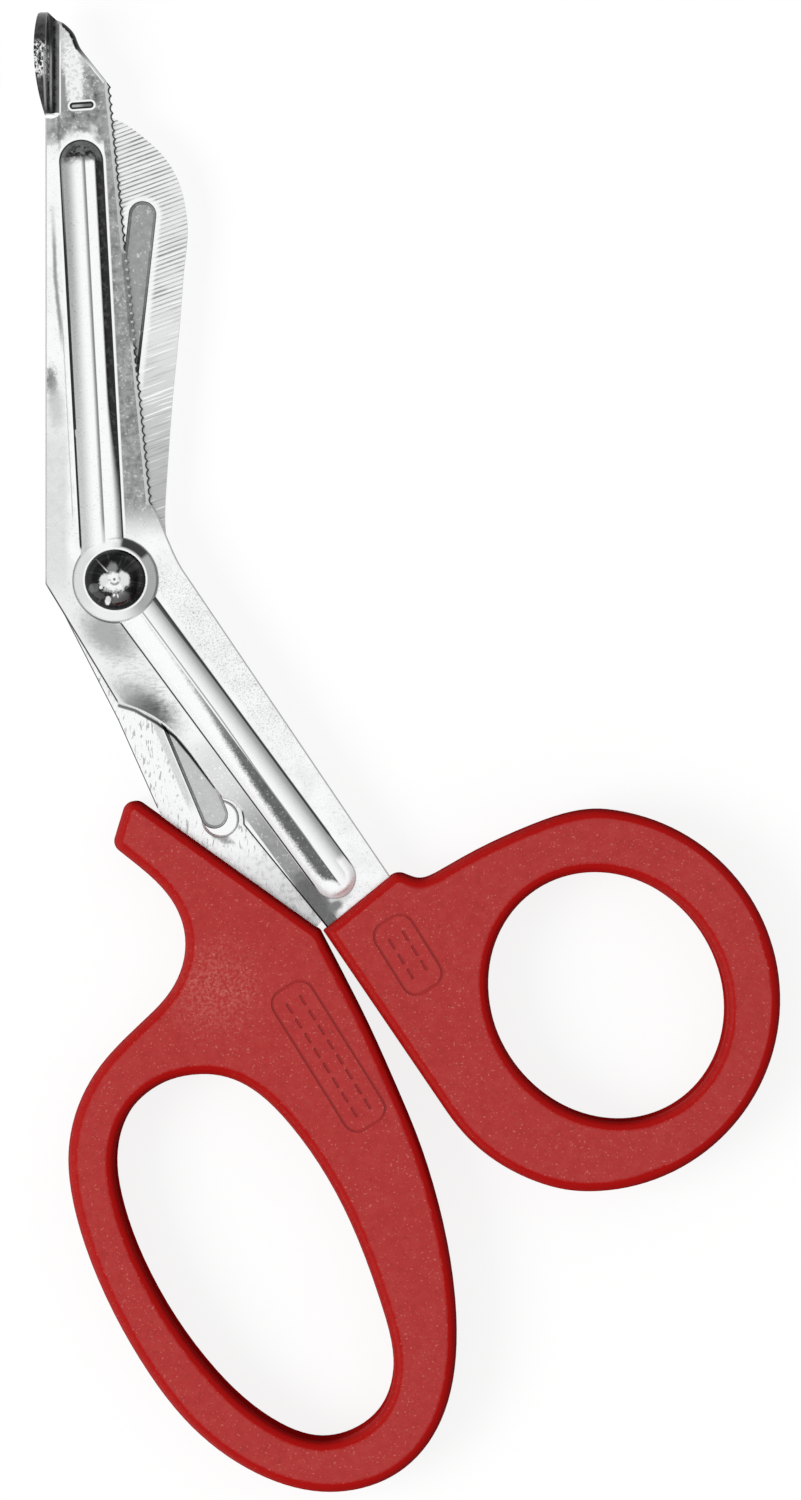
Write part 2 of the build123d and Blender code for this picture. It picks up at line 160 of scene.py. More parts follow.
class PieceFinish(Finish):
    # a CAD piece's finish, drawn in millimetres from the pivot on its own coordinates
    def __init__(self, name):
        super().__init__(name)
        own = self.node("ShaderNodeTexCoord", out="Object")
        centre = (-pivotPlace[0], -pivotPlace[1], 0.0)
        self.point = self.vector("MULTIPLY_ADD", own, (1 / millimetre,) * 3, centre)
        self.flatPoint = self.vector("MULTIPLY", self.point, (1.0, 1.0, 0.0))
        self.across, self.up, self.height = self.parts(self.point)
        # lean is 1 on a level face, 0 on a wall and -1 on an underside
        self.sideways, self.upward, self.lean = self.parts(self.node("ShaderNodeTexCoord", out="Normal"))
        self.shade = None

    def toLine(self, start, end):
        # distance from a straight stretch, way along it, and offset to its left
        run = (end[0] - start[0], end[1] - start[1])
        length = math.hypot(*run)
        along = (run[0] / length, run[1] / length, 0.0)
        away = self.vector("SUBTRACT", self.flatPoint, (start[0], start[1], 0.0))
        reach = self.vector("DOT_PRODUCT", away, along, out="Value")
        foot = self.scaled(along, reach.larger(0.0).smaller(length))
        distance = self.vector("LENGTH", self.vector("SUBTRACT", away, foot), out="Value")
        left = self.vector("DOT_PRODUCT", away, (-along[1], along[0], 0.0), out="Value")
        return distance, reach, left

    def toPath(self, places):
        # distance from the nearest stretch of a path
        nearest = None
        for start, end in zip(places, places[1:]):
            distance = self.toLine(start, end)[0]
            nearest = nearest.smaller(distance) if nearest else distance
        return nearest

    def toSpot(self, spot):
        return self.vector("DISTANCE", self.flatPoint, (spot[0], spot[1], 0.0), out="Value")

    def inOval(self, spot, halfLength, halfWidth, tilt):
        # 0 at the middle of an oval and 1 at its rim; tilt in degrees turns its long side from +X
        turn = math.radians(tilt)
        away = self.vector("SUBTRACT", self.point, (spot[0], spot[1], 0.0))
        long = self.vector("DOT_PRODUCT", away, (math.cos(turn), math.sin(turn), 0.0), out="Value")
        wide = self.vector("DOT_PRODUCT", away, (-math.sin(turn), math.cos(turn), 0.0), out="Value")
        return (long * long / halfLength**2 + wide * wide / halfWidth**2).power(0.5)

    def grain(self, size, detail, rough):
        return self.noise(self.point, size, detail, rough)

    def mark(self, value, mask):
        # lays a grey over what has been drawn so far
        self.shade = self.cover(self.shade, value, mask)


def tone(level):
    # a grey from 0 to 255 as it shows on a screen, made linear for the shader
    share = level / 255
    return share / 12.92 if share <= 0.04045 else ((share + 0.055) / 1.055) ** 2.4


def paint(red, green, blue):
    return (tone(red), tone(green), tone(blue), 1.0)


def gray(value):
    return (value, value, value, 1.0)


def dress(node, finish):
    # a CAD node keeps its mesh and gets a finish in its own material slot
    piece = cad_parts[node]
    piece.data.materials.clear()
    piece.data.materials.append(finish.material)


# In every dictionary below a fade is (low, high) or (low, high, start, end): where it begins and ends,
# and what it is worth there. A band is (low, high, softness). An oval is its middle, half length,
# half width and tilt in degrees. Specks are (size, low, high). Places and widths are in millimetres
# from the pivot, noise sizes are per millimetre.
plasticLook = {
    "colour": paint(180, 30, 27),
    "deepColour": paint(166, 20, 20),
    # painted shade for the rounded rims, lighter on rims that look to the left
    "edgeShadeColour": paint(178, 14, 12),
    "rimShadeColour": paint(110, 4, 5),
    "grooveColour": paint(184, 17, 16),
    "speckColour": paint(222, 126, 114),
    "pitColour": paint(150, 18, 20),
    "bloomColour": paint(186, 50, 45),
    "bloomSpot": (12.6, -51.5),
    "bloomSize": 8.5,
    "roughness": (0.35, 0.48),
    "rimRoughness": 0.25,
    "gloss": 0.95,
    "rimGloss": (0.4, 0.1),  # rims that look to the left, and all others
    "levelFade": (0.975, 0.999),
    "edgeFade": (0.955, 0.999),
    "turnFade": (0.35, 0.92),
    "panelDepth": (9.05, 9.42, 0.04),  # heights of the grooves' walls under the 9.5 mm face
    "panelSlope": (0.5, 0.97, 0.02),
}


def makePlastic():
    look = plasticLook
    finish = PieceFinish("redHandlePlastic")
    step, blend = finish.step, finish.blend
    cloud = finish.grain(0.16, 2.0, 0.5)
    mottle = finish.grain(0.9, 3.0, 0.6)
    grain = finish.grain(2.4, 3.0, 0.65)
    slope = abs(finish.lean)
    level = step(slope, *look["levelFade"])

    # clouded red with pale specks, a pale bloom below the tab and dark pits
    colour = blend(step(mottle, 0.44, 0.66) * 0.5, look["colour"], look["bloomColour"])
    colour = blend(step(mottle, 0.28, 0.46, 0.5, 0.0), colour, look["deepColour"])
    bloom = finish.fall(finish.toSpot(look["bloomSpot"]) / look["bloomSize"], 0.1, 1.0)
    speckle = finish.grain(3.4, 1.0, 0.5) + 0.03 * bloom + 0.05 * (cloud - 0.5)
    colour = blend(step(speckle, 0.65, 0.74) * 0.5, colour, look["speckColour"])
    colour = blend(bloom * step(grain, 0.42, 0.62) * 0.35, colour, look["speckColour"])
    pit = finish.fall(finish.grain(2.9, 1.0, 0.4), 0.28, 0.35)
    colour = blend(pit * 0.6, colour, look["pitColour"])

    # painted shade: the rounded rims are a clean deep red, darkest where they turn under on the right
    # lit halves the painted rim shade on rims that look to the left, towards the light
    lit = step(finish.sideways, -0.6, 0.1, 0.5, 1.0)
    colour = blend((1.0 - step(slope, *look["edgeFade"])) * lit, colour, look["edgeShadeColour"])
    turned = finish.fall(slope, *look["turnFade"])
    shaded = step(finish.sideways + finish.upward * 0.3, -0.3, 0.3, 0.12, 0.8)
    colour = blend(turned * shaded, colour, look["rimShadeColour"])
    sheen = step(finish.sideways, -0.6, -0.1, *look["rimGloss"]) * step(slope, 0.1, 0.7)
    carved = finish.band(finish.height, *look["panelDepth"])
    carved = carved * (1.0 - finish.band(finish.lean, *look["panelSlope"]))
    colour = blend(carved, colour, look["grooveColour"])
    finish.wear(
        {
            "Base Color": colour,
            "Roughness": step(grain, 0.3, 0.7, *look["roughness"]) + (1.0 - level) * look["rimRoughness"],
            "Specular IOR Level": 0.0,
            "Coat Weight": finish.cover(sheen, look["gloss"], level),
            "Coat Roughness": 0.3,
            "Normal": finish.bump(grain, 0.35, 0.03),
        }
    )
    return finish


steelLook = {
    "tint": (0.99, 0.995, 1.0),
    "brushSize": (2.2, 0.25, 2.2),
    "underside": (0.3, 0.75, tone(238), tone(212)),
    "walls": (0.3, 0.7, tone(196), tone(150)),
    "slopes": (0.2, 0.88, 0.06),  # leans between which the steel is dull, so rims don't mirror the handles
    "slopeDulling": 0.85,
}


class Steel(PieceFinish):
    # pressed blade steel: the noises that its marks are drawn from, and what both blades share
    def __init__(self, name, look):
        super().__init__(name)
        self.look = look
        self.cloud = self.grain(look["cloudSize"], 3.0, 0.6)
        self.mottle = self.grain(1.3, 3.0, 0.65)
        self.fine = self.grain(4.0, 2.0, 0.6)
        self.uneven = self.mottle - 0.5  # the same noises about 0
        self.gritty = self.fine - 0.5

    def specks(self, size, low, high):
        # small scattered grains
        return self.step(self.grain(size, 1.5, 0.5), low, high)

    def softPatch(self, value, oval, fineShare, mottleShare, fade):
        # a soft patch of another grey, for stains and for painted reflections: an oval whose rim the fine and
        # the coarse noise pull in and out
        away = self.inOval(*oval) + self.gritty * fineShare + self.uneven * mottleShare
        self.mark(value, self.step(away, *fade))

    def drawUnderside(self, grains, walls):
        # the underside and the sheet's cut walls keep a plain brushed finish
        brushed = self.grain(steelLook["brushSize"], 3.0, 0.6)
        under = self.step(brushed, *steelLook["underside"]) - 0.08 * grains
        self.shade = self.cover(under, self.shade, self.step(self.lean, -0.15, 0.05))
        self.mark(self.step(brushed, *steelLook["walls"]), walls)

    def wearSteel(self, relief):
        self.wear(
            {
                "Base Color": self.scaled(steelLook["tint"], self.shade),
                "Metallic": 1.0 - steelLook["slopeDulling"] * self.band(abs(self.lean), *steelLook["slopes"]),
                "Roughness": self.step(self.mottle, 0.3, 0.7, *self.look["roughness"]),
                "Normal": self.bump(relief, 0.12, 0.01),
            }
        )


frontLook = {
    "white": tone(251),
    # tone of the outlines: painted shade in the creases round the bead, the rib and the boss
    "line": tone(60),
    "cloudSize": 0.35,
    "roughness": (0.18, 0.32),
    "upperBead": ((-1.5, 0.0), (-4.343, 52.92)),
    "lowerRib": ((0.0, 0.0), (27.69, -37.61)),
    "beadHalf": 2.725,
    "bossRadius": 5.4,
    "cutEdge": ((-0.641, 62.47), (4.646, 9.48)),
    "flats": {
        "clouds": (0.35, 0.75, tone(251), tone(240)),
        "grains": (3.2, 0.60, 0.72),
        "grainFade": (0.3, 0.7, 0.25, 1.0),
    },
    # the strip's grey is a painted reflection of the dim right side
    "strip": {
        "tone": tone(152),
        "specks": (2.7, 0.60, 0.70),
        "left": (-3.1, -2.9),
        "bottom": (4.6, 10.5),
        "top": (60.0, 66.0, 1.0, 0.6),
    },
    "tipFlat": {
        "bottom": (54.6, 55.8),
        "top": (63.0, 68.0, 1.0, 0.5),
        "left": (-8.4, -7.0, 0.85, 1.0),
        "halo": (3.3, 4.3),
        "haloSide": (-2.2, -1.0),
        "haloRight": (-2.6, -1.4),
        "beyondHalo": (4.4, 5.2),
        "beadRim": (2.9, 3.1),
        "blotchSize": 0.62,
        "blotchDepth": 0.7,
        "patch": ((-5.35, 64.2), 4.8, 1.35, 96.0), "patchTone": tone(244),
        "patchSpecks": (2.4, 0.48, 0.64),
        "besideFoot": (-7.0, -6.35, 0.12), "besideFootReach": (59.4, 64.0, 0.8),
    },
    "leftFlat": {
        "streak": [(-7.95, 47.0), (-7.6, 38.0), (-6.65, 29.0)],
        "streakTone": tone(158),
        "streakWidth": (0.05, 0.42),
        "streakBottom": (28.0, 33.0), "streakTop": (41.0, 47.0, 1.0, 0.2),
        "stain": ((-8.1, 25.0), 2.3, 0.85, 94.0), "stainTone": tone(128),
        "shadow": ((-7.6, 22.0), 3.8, 1.3, 92.0), "shadowTone": tone(196),
        "greyTone": tone(216),
        "greyRight": (-6.6, -5.6, 0.75, 0.0), "greyReach": (-1.0, 18.5, 2.5),
    },
    "shank": {
        # soft grey spots of painted reflection: oval, tone and strength
        "spots": [
            (((-0.9, -6.9), 4.8, 2.8, -38.0), 120, 0.95),
            (((3.6, -16.4), 5.8, 3.3, -38.0), 104, 0.97),
        ],
        "rippleSize": (1.1, 3.4, 1.0),
        "rippleSide": (-7.2, -2.9, 0.4), "rippleReach": (4.0, 19.0, 2.0),
        "backSide": (-8.9, -8.0), "backReach": (13.0, 15.0),
        "backTop": (-6.0, -4.0),
        "ribSide": (-2.9, -2.75),
        "besideStart": (12.0, 16.0, 0.4, 0.0),
        "deep": (28.0, 38.0, tone(224), tone(156)),
        "deeper": (42.0, 46.0),
        "deepSpecks": (3.0, 0.60, 0.70),
        "deepStart": (21.0, 26.0),
        "notchLine": (-5.4, -4.65, 0.08), "notchReach": (33.0, 35.0),
        # worn corner by the handle: oval and tone of each smear
        "corner": [
            (((25.4, -40.4), 4.2, 1.9, -55.0), 108),
            (((28.6, -40.0), 1.5, 0.9, 30.0), 214),
            (((27.7, -41.3), 1.2, 0.7, 30.0), 128),
        ],
        "rightSpecks": (4.2, 2.0, 0.65),
        "rightSide": (3.2, 3.8), "rightTop": (0.0, 3.0),
        "rightBottom": (-26.0, -16.0, 0.25, 1.0),
        "leftEdge": ((-6.86, -3.86), (0.35, -15.85)), "leftEdgeTone": tone(54),
    },
    "bead": {
        "leftFall": (6.0, 46.0, 0.30, 0.52), "leftSide": (0.5, 2.0),
        "crestTone": tone(112),
        "crestLeft": (-0.58, -0.46), "crestRight": (-0.42, 0.1),
        "crestFoot": (5.0, 8.0, 0.5, 1.0),
        "blackTone": tone(34) - 0.01,
        "blackStart": (5.0, 24.0, -2.45, -1.7),
        "blackSoftness": (5.0, 26.0, 0.7, 0.14),
        "tip": (52.6, 53.7),
        "tipDark": (0.34, 0.6, tone(36), tone(120)),
        "tipGrey": tone(122),
        "rim": (-0.12, 0.08, 0.05),
        "leftLine": (-0.30, 0.08, 0.05), "leftLineFoot": (18.9, 19.1),
        "lowLine": (2.53, 2.80, 0.05), "lowLineReach": (4.0, 18.2, 0.3),
        "leftLineTone": tone(20),
        "leftLineTop": (40.0, 52.0, 1.0, 0.3),
        "outerLine": (3.42, 3.52, 0.06), "outerLineReach": (8.0, 33.0, 1.0),
        "outerLineTone": tone(168),
        "halo": (0.12, 0.4, 0.08),
    },
    "rib": {
        "rightFall": (0.4, 2.7, tone(248), tone(172)),
        "bandWidth": (8.0, 38.0, 0.1, 1.75),
        "bandEnd": (45.2, 48.4),
        "bandTone": tone(104),
        "bandSpecks": (3.6, 0.62, 0.70),
        "bandStart": (5.0, 30.0, 0.45, 1.0),
        "thinPlace": (20.0, 34.0, 0.36, 0.1),
        "thinTone": tone(132), "thinEnd": (40.0, 44.0, 0.85, 0.0),
        "endRing": (44.6, 45.6), "endRingInside": (1.3, 1.6),
        "rim": (-0.14, 0.06, 0.05),
        "rimEnd": (45.5, 47.5, 1.0, 0.3),
        "rightOffset": (4.0, 20.0, 0.42, 0.2),
        "rightReach": (4.5, 42.0, 0.4), "rightTone": tone(44),
    },
    "boss": {
        "sides": (0.2, 0.62, tone(170), tone(222)),  # angles are in half turns from +X
        "bottom": (-0.75, -0.35, 0.12),
        "top": (0.5, 0.72, 0.06),
        "arc": (0.215, 0.45, 0.02), "arcInside": (4.15, 4.35),
        "arcTone": tone(52),
        "beadMouth": (0.46, 0.66, 0.01), "beadMouthInside": (4.6, 5.2),
        "rim": (-0.14, 0.08, 0.05),
        "lip": (3.8, 4.08, 0.05),
    },
    "rims": {
        "roll": (0.25, 0.93, 0.06),
        "tones": (-1.5, 0.5, tone(48), tone(202)),
        "rightTone": tone(206), "notchTone": tone(246),
        "notchReach": (12.6, 33.0, 0.3),
    },
    "teeth": {
        "pitch": 1.107,
        "radius": 0.62,
        "depth": 0.24,
        "slope": (0.55, 0.7, 0.04),
        "reach": (0.9, 1.0),
        "hem": (0.14, 0.24), "hemTone": tone(34),
        "overGroove": (30.0, 41.5, 0.6),
        "gapReach": (23.5, 29.6, 0.5), "gapTone": tone(24),
    },
    "stamp": {
        "place": (-4.29, 60.06), "tilt": 4.0,
        "halfLength": 1.1,
        "halo": (0.62, 0.72), "rim": (0.40, 0.46), "floor": (0.12, 0.2),
    },
    "nose": {
        "slope": (0.1, 0.97, 0.02),
        "bottom": (58.0, 59.0),
        "left": (-6.9, -6.7),
        "tones": (0.3, 0.6, tone(70), tone(246)),
        "black": (64.6, 67.6),
    },
    "foot": {
        "bottom": (58.6, 58.8),
        "right": (-7.15, -7.05),
        "floor": (6.3, 6.38),
        "pockSize": (2.6, 1.5, 1.0),
        "pocks": (0.44, 0.56, tone(240), tone(52)),
        "pockReach": (63.3, 67.6, 0.5),
        "innerLine": (-8.86, -8.62, 0.05), "innerLineReach": (59.6, 66.5, 1.0),
        "bend": (-7.8, -7.25, tone(20), tone(112)),
        "bendLeft": (-8.46, -8.3),
        "sheen": (-8.3, -8.05, 0.08), "sheenReach": (60.0, 67.0, 1.5),
        "outerLine": (-7.1, -6.92, 0.06), "outerLineReach": (58.9, 68.2, 0.4),
        "notch": ((-7.75, 58.75), 0.75, 0.3, 20.0),
    },
}


class FrontSteel(Steel):
    # the toothed blade: each method draws over the earlier ones and may use what they made
    def __init__(self):
        super().__init__("serratedBladeSteel", frontLook)
        look = self.look
        self.wobble = self.uneven * 1.6
        self.beadDistance, self.beadReach, self.beadLeft = self.toLine(*look["upperBead"])
        self.ribDistance, self.ribReach, self.ribLeft = self.toLine(*look["lowerRib"])
        self.edgeDistance, self.edgeReach, self.edgeLeft = self.toLine(*look["cutEdge"])
        self.bossDistance = self.toSpot((0.0, 0.0))
        self.beadSide = self.beadDistance - look["beadHalf"]
        self.ribSide = self.ribDistance - look["beadHalf"]
        self.bossSide = self.bossDistance - look["bossRadius"]
        self.inBead = self.fall(self.beadSide, -0.05, 0.0)
        self.inRib = self.fall(self.ribSide, -0.05, 0.0)
        self.farFromBoss = self.step(self.bossSide, 0.0, 0.1)

    def drawFlats(self):
        # open flats: near white, with fine specks and faint clouds
        zone = self.look["flats"]
        self.grains = self.specks(*zone["grains"]) * self.step(self.cloud, *zone["grainFade"])
        self.shade = self.step(self.cloud, *zone["clouds"]) - 0.22 * self.grains

    def drawStrip(self):
        # painted reflection: the grey strip between the upper bead and the teeth, dim where the face tilts to
        # the right
        zone = self.look["strip"]
        self.grey = zone["tone"] + self.uneven * 0.55 + (self.cloud - 0.5) * 0.25
        self.grey = self.grey + 0.22 * self.specks(*zone["specks"])
        strip = self.fall(self.beadLeft, *zone["left"]) * self.step(self.up + self.wobble, *zone["bottom"])
        self.mark(self.grey, strip * self.step(self.up, *zone["top"]))

    def drawTipFlat(self):
        # blotched grey flat round the stamped mark, with a bright halo over the bead's tip and a pale patch
        zone = self.look["tipFlat"]
        around = self.step(self.up + self.wobble * 1.5, *zone["bottom"])
        around = around * self.step(self.up + self.wobble, *zone["top"])
        around = around * self.step(self.across, *zone["left"]) * self.step(self.beadDistance, *zone["beadRim"])
        ragged = self.beadDistance + self.wobble
        halo = self.step(ragged, *zone["halo"]) * self.step(self.beadLeft, *zone["haloSide"])
        halo = self.step(self.beadLeft + self.wobble, *zone["haloRight"], 1.0, halo)
        halo = halo.larger(self.step(ragged, *zone["beyondHalo"]))
        blotch = self.grain(zone["blotchSize"], 2.0, 0.5)
        self.mark(self.grey + 0.02 + zone["blotchDepth"] * (blotch - 0.5), around * halo)
        pale = zone["patchTone"] - 0.22 * self.specks(*zone["patchSpecks"])
        self.softPatch(pale, zone["patch"], 0.9, 0.9, (0.75, 1.15, 1.0, 0.0))
        besideFoot = self.band(self.across, *zone["besideFoot"]) * self.band(self.up, *zone["besideFootReach"])
        self.mark(self.look["strip"]["tone"], besideFoot)

    def drawLeftFlat(self):
        # streak, stain and soft grey on the flat to the left of the bead
        zone = self.look["leftFlat"]
        streak = self.toPath(zone["streak"]) + self.uneven * 0.3
        streakFade = self.step(self.up, *zone["streakBottom"]) * self.step(self.up, *zone["streakTop"])
        self.mark(zone["streakTone"], self.fall(streak, *zone["streakWidth"]) * streakFade)
        self.softPatch(zone["stainTone"], zone["stain"], 1.0, 0.8, (0.3, 1.2, 1.0, 0.0))
        self.softPatch(zone["shadowTone"], zone["shadow"], 0.0, 0.9, (0.2, 1.3, 0.8, 0.0))
        greyFlat = self.step(self.across, *zone["greyRight"]) * self.band(self.up, *zone["greyReach"])
        self.mark(zone["greyTone"] + self.uneven * 0.3, greyFlat)

    def drawShank(self):
        # soft grey spots of painted reflection below the boss, ripples between them, and the strip beside the
        # lower rib, greyed further down as a painted reflection where its face tilts to the lower left
        zone = self.look["shank"]
        for oval, level, strength in zone["spots"]:
            self.softPatch(tone(level), oval, 0.3, 0.5, (0.3, 1.2, strength, 0.0))
        ripple = self.grain(zone["rippleSize"], 2.0, 0.6)
        between = self.band(self.ribLeft, *zone["rippleSide"]) * self.band(self.ribReach, *zone["rippleReach"])
        self.shade = self.shade * (1.0 - 0.26 * self.step(ripple, 0.5, 0.64) * between)
        back = self.fall(self.ribLeft, *zone["backSide"]) * self.fall(self.ribReach, *zone["backReach"])
        self.mark(tone(250), back * self.fall(self.up, *zone["backTop"]))
        ragged = self.ribReach + self.wobble
        beside = self.fall(self.ribLeft, *zone["ribSide"]) * self.step(self.bossSide, 0.0, 0.2)
        self.mark(tone(226) - 0.12 * self.grains, beside * self.step(self.ribReach, *zone["besideStart"]))
        deep = self.step(ragged, *zone["deep"]) + self.uneven * 0.16
        deep = deep - 0.14 * self.step(self.ribReach, *zone["deeper"]) + 0.16 * self.specks(*zone["deepSpecks"])
        self.mark(deep, beside * self.step(ragged, *zone["deepStart"]))
        notchLine = self.band(self.ribLeft, *zone["notchLine"]) * self.step(self.ribReach, *zone["notchReach"])
        self.mark(tone(248), notchLine)
        for oval, level in zone["corner"]:
            self.softPatch(tone(level) + self.gritty * 0.1, oval, 0.0, 0.8, (0.5, 1.25, 0.95, 0.0))

    def drawBead(self):
        # upper bead in painted reflection: grey on the left, a crest line, white, then a black band on the
        # right
        zone = self.look["bead"]
        leftFall = self.step(self.up, *zone["leftFall"]) * self.step(self.beadLeft, *zone["leftSide"])
        bead = self.look["white"] - leftFall - 0.16 * self.grains
        crest = self.step(self.beadLeft, *zone["crestLeft"]) * self.fall(self.beadLeft, *zone["crestRight"])
        bead = self.cover(bead, zone["crestTone"], crest * self.step(self.up, *zone["crestFoot"]) * 0.9)
        start = self.step(self.up, *zone["blackStart"])
        softness = self.step(self.up, *zone["blackSoftness"])
        black = self.step((start + softness - self.beadLeft) / (2.0 * softness), 0.0, 1.0)
        bead = self.cover(bead, zone["blackTone"] + 0.05 * self.step(self.mottle, 0.45, 0.65), black)

        # dark mottled tip, also painted reflection
        patches = self.mottle + self.gritty * 0.4 - abs(self.beadLeft) * 0.08
        dark = self.step(patches, *zone["tipDark"])
        greyed = self.step(self.beadDistance, 1.7, 2.4) * self.step(self.fine, 0.35, 0.6, 0.5, 0.9)
        dark = self.cover(dark, zone["tipGrey"], greyed)
        bead = self.cover(bead, dark, self.step(self.beadReach + self.wobble, *zone["tip"]))
        self.mark(bead, self.inBead * self.step(self.beadReach, 0.0, 0.1))

        # painted crease shade as the outline and a black line on the left, a second grey line outside it, and a
        # bright halo as a painted highlight
        outline = self.band(self.beadSide, *zone["rim"]) * self.farFromBoss * self.step(self.up, 4.0, 5.0)
        self.mark(self.look["line"] * 0.5, outline)
        leftLine = self.band(self.beadLeft - self.look["beadHalf"], *zone["leftLine"])
        leftLine = leftLine * self.step(self.up, *zone["leftLineFoot"])
        lowLine = self.band(self.beadLeft, *zone["lowLine"]) * self.band(self.up, *zone["lowLineReach"])
        lines = (leftLine + lowLine).smaller(1.0)
        self.mark(zone["leftLineTone"], lines * self.step(self.up, *zone["leftLineTop"]))
        outerLine = self.band(self.beadLeft + self.uneven * 0.2, *zone["outerLine"])
        self.mark(zone["outerLineTone"], outerLine * self.band(self.up, *zone["outerLineReach"]) * 0.8)
        halo = self.band(self.beadSide, *zone["halo"]) * self.farFromBoss * self.step(self.up, 5.0, 7.0)
        self.mark(tone(250), halo * 0.9)

    def drawRib(self):
        # lower rib in painted reflection: white, a dark band that widens downwards, then a grey fall to the
        # right
        zone = self.look["rib"]
        rib = self.step(self.ribLeft, *zone["rightFall"])
        rib = self.cover(rib, tone(252), self.fall(self.ribLeft, -0.1, 0.1))
        wide = self.step(self.ribReach, *zone["bandWidth"]) - 1.9 * self.step(self.ribReach, *zone["bandEnd"])
        ragged = self.ribLeft + wide + 0.2 + self.gritty * 0.9 + self.uneven * 0.5
        inBand = self.fall(self.ribLeft, 0.02, 0.12) * self.step(ragged, 0.0, 0.85)
        bandTone = zone["bandTone"] + self.uneven * 0.12 + 0.2 * self.specks(*zone["bandSpecks"])
        rib = self.cover(rib, bandTone, inBand * self.step(self.ribReach, *zone["bandStart"]))
        thin = self.band(self.ribLeft - self.step(self.ribReach, *zone["thinPlace"]), -0.08, 0.08, 0.06)
        rib = self.cover(rib, zone["thinTone"], thin * self.step(self.ribReach, *zone["thinEnd"]))
        inside = self.step(self.ribDistance, *zone["endRingInside"])
        rib = self.cover(rib, self.look["white"], self.step(self.ribReach, *zone["endRing"]) * inside)
        self.mark(rib, self.inRib * self.step(self.ribReach, 0.0, 0.1))

        # painted crease shade as the outline, with a darker line of painted shade on the right
        outline = self.band(self.ribSide, *zone["rim"]) * self.farFromBoss * self.step(self.ribReach, 3.0, 4.0)
        self.mark(self.look["line"] * 0.6, outline * self.step(self.ribReach, *zone["rimEnd"]))
        rightSide = self.ribLeft - self.look["beadHalf"]
        rightLine = self.step(rightSide + self.step(self.ribReach, *zone["rightOffset"]), -0.08, 0.08)
        rightLine = rightLine * self.fall(rightSide, 0.04, 0.2) * self.band(self.ribReach, *zone["rightReach"])
        self.mark(zone["rightTone"], rightLine * 0.85)

    def drawShankEdges(self):
        # stippled flat to the right of the rib, and a dark line of painted shade along the left edge below the
        # boss
        zone = self.look["shank"]
        stipple = self.step(self.grain(*zone["rightSpecks"]), 0.48, 0.64)
        rightFlat = self.step(self.ribLeft, *zone["rightSide"]) * self.fall(self.up, *zone["rightTop"])
        self.shade = self.shade - 0.24 * stipple * rightFlat * self.step(self.up, *zone["rightBottom"])
        leftEdge = self.toLine(*zone["leftEdge"])[0]
        self.mark(zone["leftEdgeTone"], self.fall(leftEdge, 0.12, 0.22))

    def drawBoss(self):
        # boss ring in painted reflection: white on the left and below, grey on the right, a dark arc at the
        # upper right
        zone = self.look["boss"]
        turn = self.up.angle(self.across) / math.pi
        ringShade = self.step(abs(turn + 0.02), *zone["sides"]) - 0.06 * self.grains
        ringShade = self.cover(ringShade, tone(240), self.band(turn, *zone["bottom"]))
        ringShade = self.cover(ringShade, tone(246), self.band(turn, *zone["top"]))
        arc = self.band(turn, *zone["arc"]) * self.step(self.bossDistance, *zone["arcInside"])
        ringShade = self.cover(ringShade, zone["arcTone"] + 0.03 * self.fine, arc)
        mouth = self.step(self.bossDistance, *zone["beadMouthInside"]) * self.band(turn, *zone["beadMouth"])
        self.ring = self.fall(self.bossSide, -0.06, 0.0) * (1.0 - mouth)
        self.mark(ringShade, self.ring)
        # painted crease shade round the boss, and a painted highlight on the lip round the rivet
        clear = self.fall(self.inBead + self.inRib * self.step(self.ribReach, 0.0, 0.2), 0.2, 0.8)
        self.mark(self.look["line"], self.band(self.bossSide, *zone["rim"]) * clear * 0.7)
        self.mark(tone(250), self.band(self.bossDistance, *zone["lip"]))

    def drawRims(self):
        # the sheet's rolled rims in painted reflection: pale on the blade, dark below the pivot, white along
        # the notch
        zone = self.look["rims"]
        rims = self.fall(self.inBead + self.inRib + self.ring, 0.1, 0.5) * self.band(self.lean, *zone["roll"])
        rims = rims * self.step(self.beadDistance.smaller(self.ribDistance), 3.0, 3.15)
        rimTone = self.step(self.up, *zone["tones"])
        onRight = self.step(self.ribLeft, 2.8, 3.4) * self.fall(self.up, 6.0, 8.0)
        rimTone = self.cover(rimTone, zone["rightTone"], onRight)
        notch = self.band(self.ribReach, *zone["notchReach"]) * self.fall(self.ribLeft, -4.0, -3.0)
        self.mark(self.cover(rimTone, zone["notchTone"], notch), rims)

    def drawTeeth(self):
        # ground teeth: a bright bevel with a dark scalloped rim of painted shade, dots over the groove, and
        # dark gaps of painted shadow
        zone = self.look["teeth"]
        ground = self.band(self.lean, *zone["slope"]) * self.fall(self.edgeDistance, *zone["reach"])
        way = (self.edgeReach / zone["pitch"]).fraction() - 0.5
        wayOut = way * zone["pitch"]
        wayIn = self.edgeLeft - (zone["radius"] - zone["depth"])
        hem = (wayOut * wayOut + wayIn * wayIn).power(0.5) - zone["radius"]
        bevel = self.cover(tone(247) - 0.1 * self.grains, zone["hemTone"], self.fall(hem, *zone["hem"]))
        peaks = self.step(abs(way), 0.34, 0.42) * self.band(self.edgeLeft, -0.42, -0.12, 0.05)
        dotted = self.cover(self.grey, tone(250), peaks)
        bevel = self.cover(bevel, dotted, self.band(self.up, *zone["overGroove"]))
        gaps = self.band(self.up, *zone["gapReach"]) * self.fall(abs(way), 0.22, 0.36)
        bevel = self.cover(bevel, zone["gapTone"], gaps * self.step(self.edgeLeft, -0.5, -0.4))
        self.mark(bevel, ground)

    def drawStamp(self):
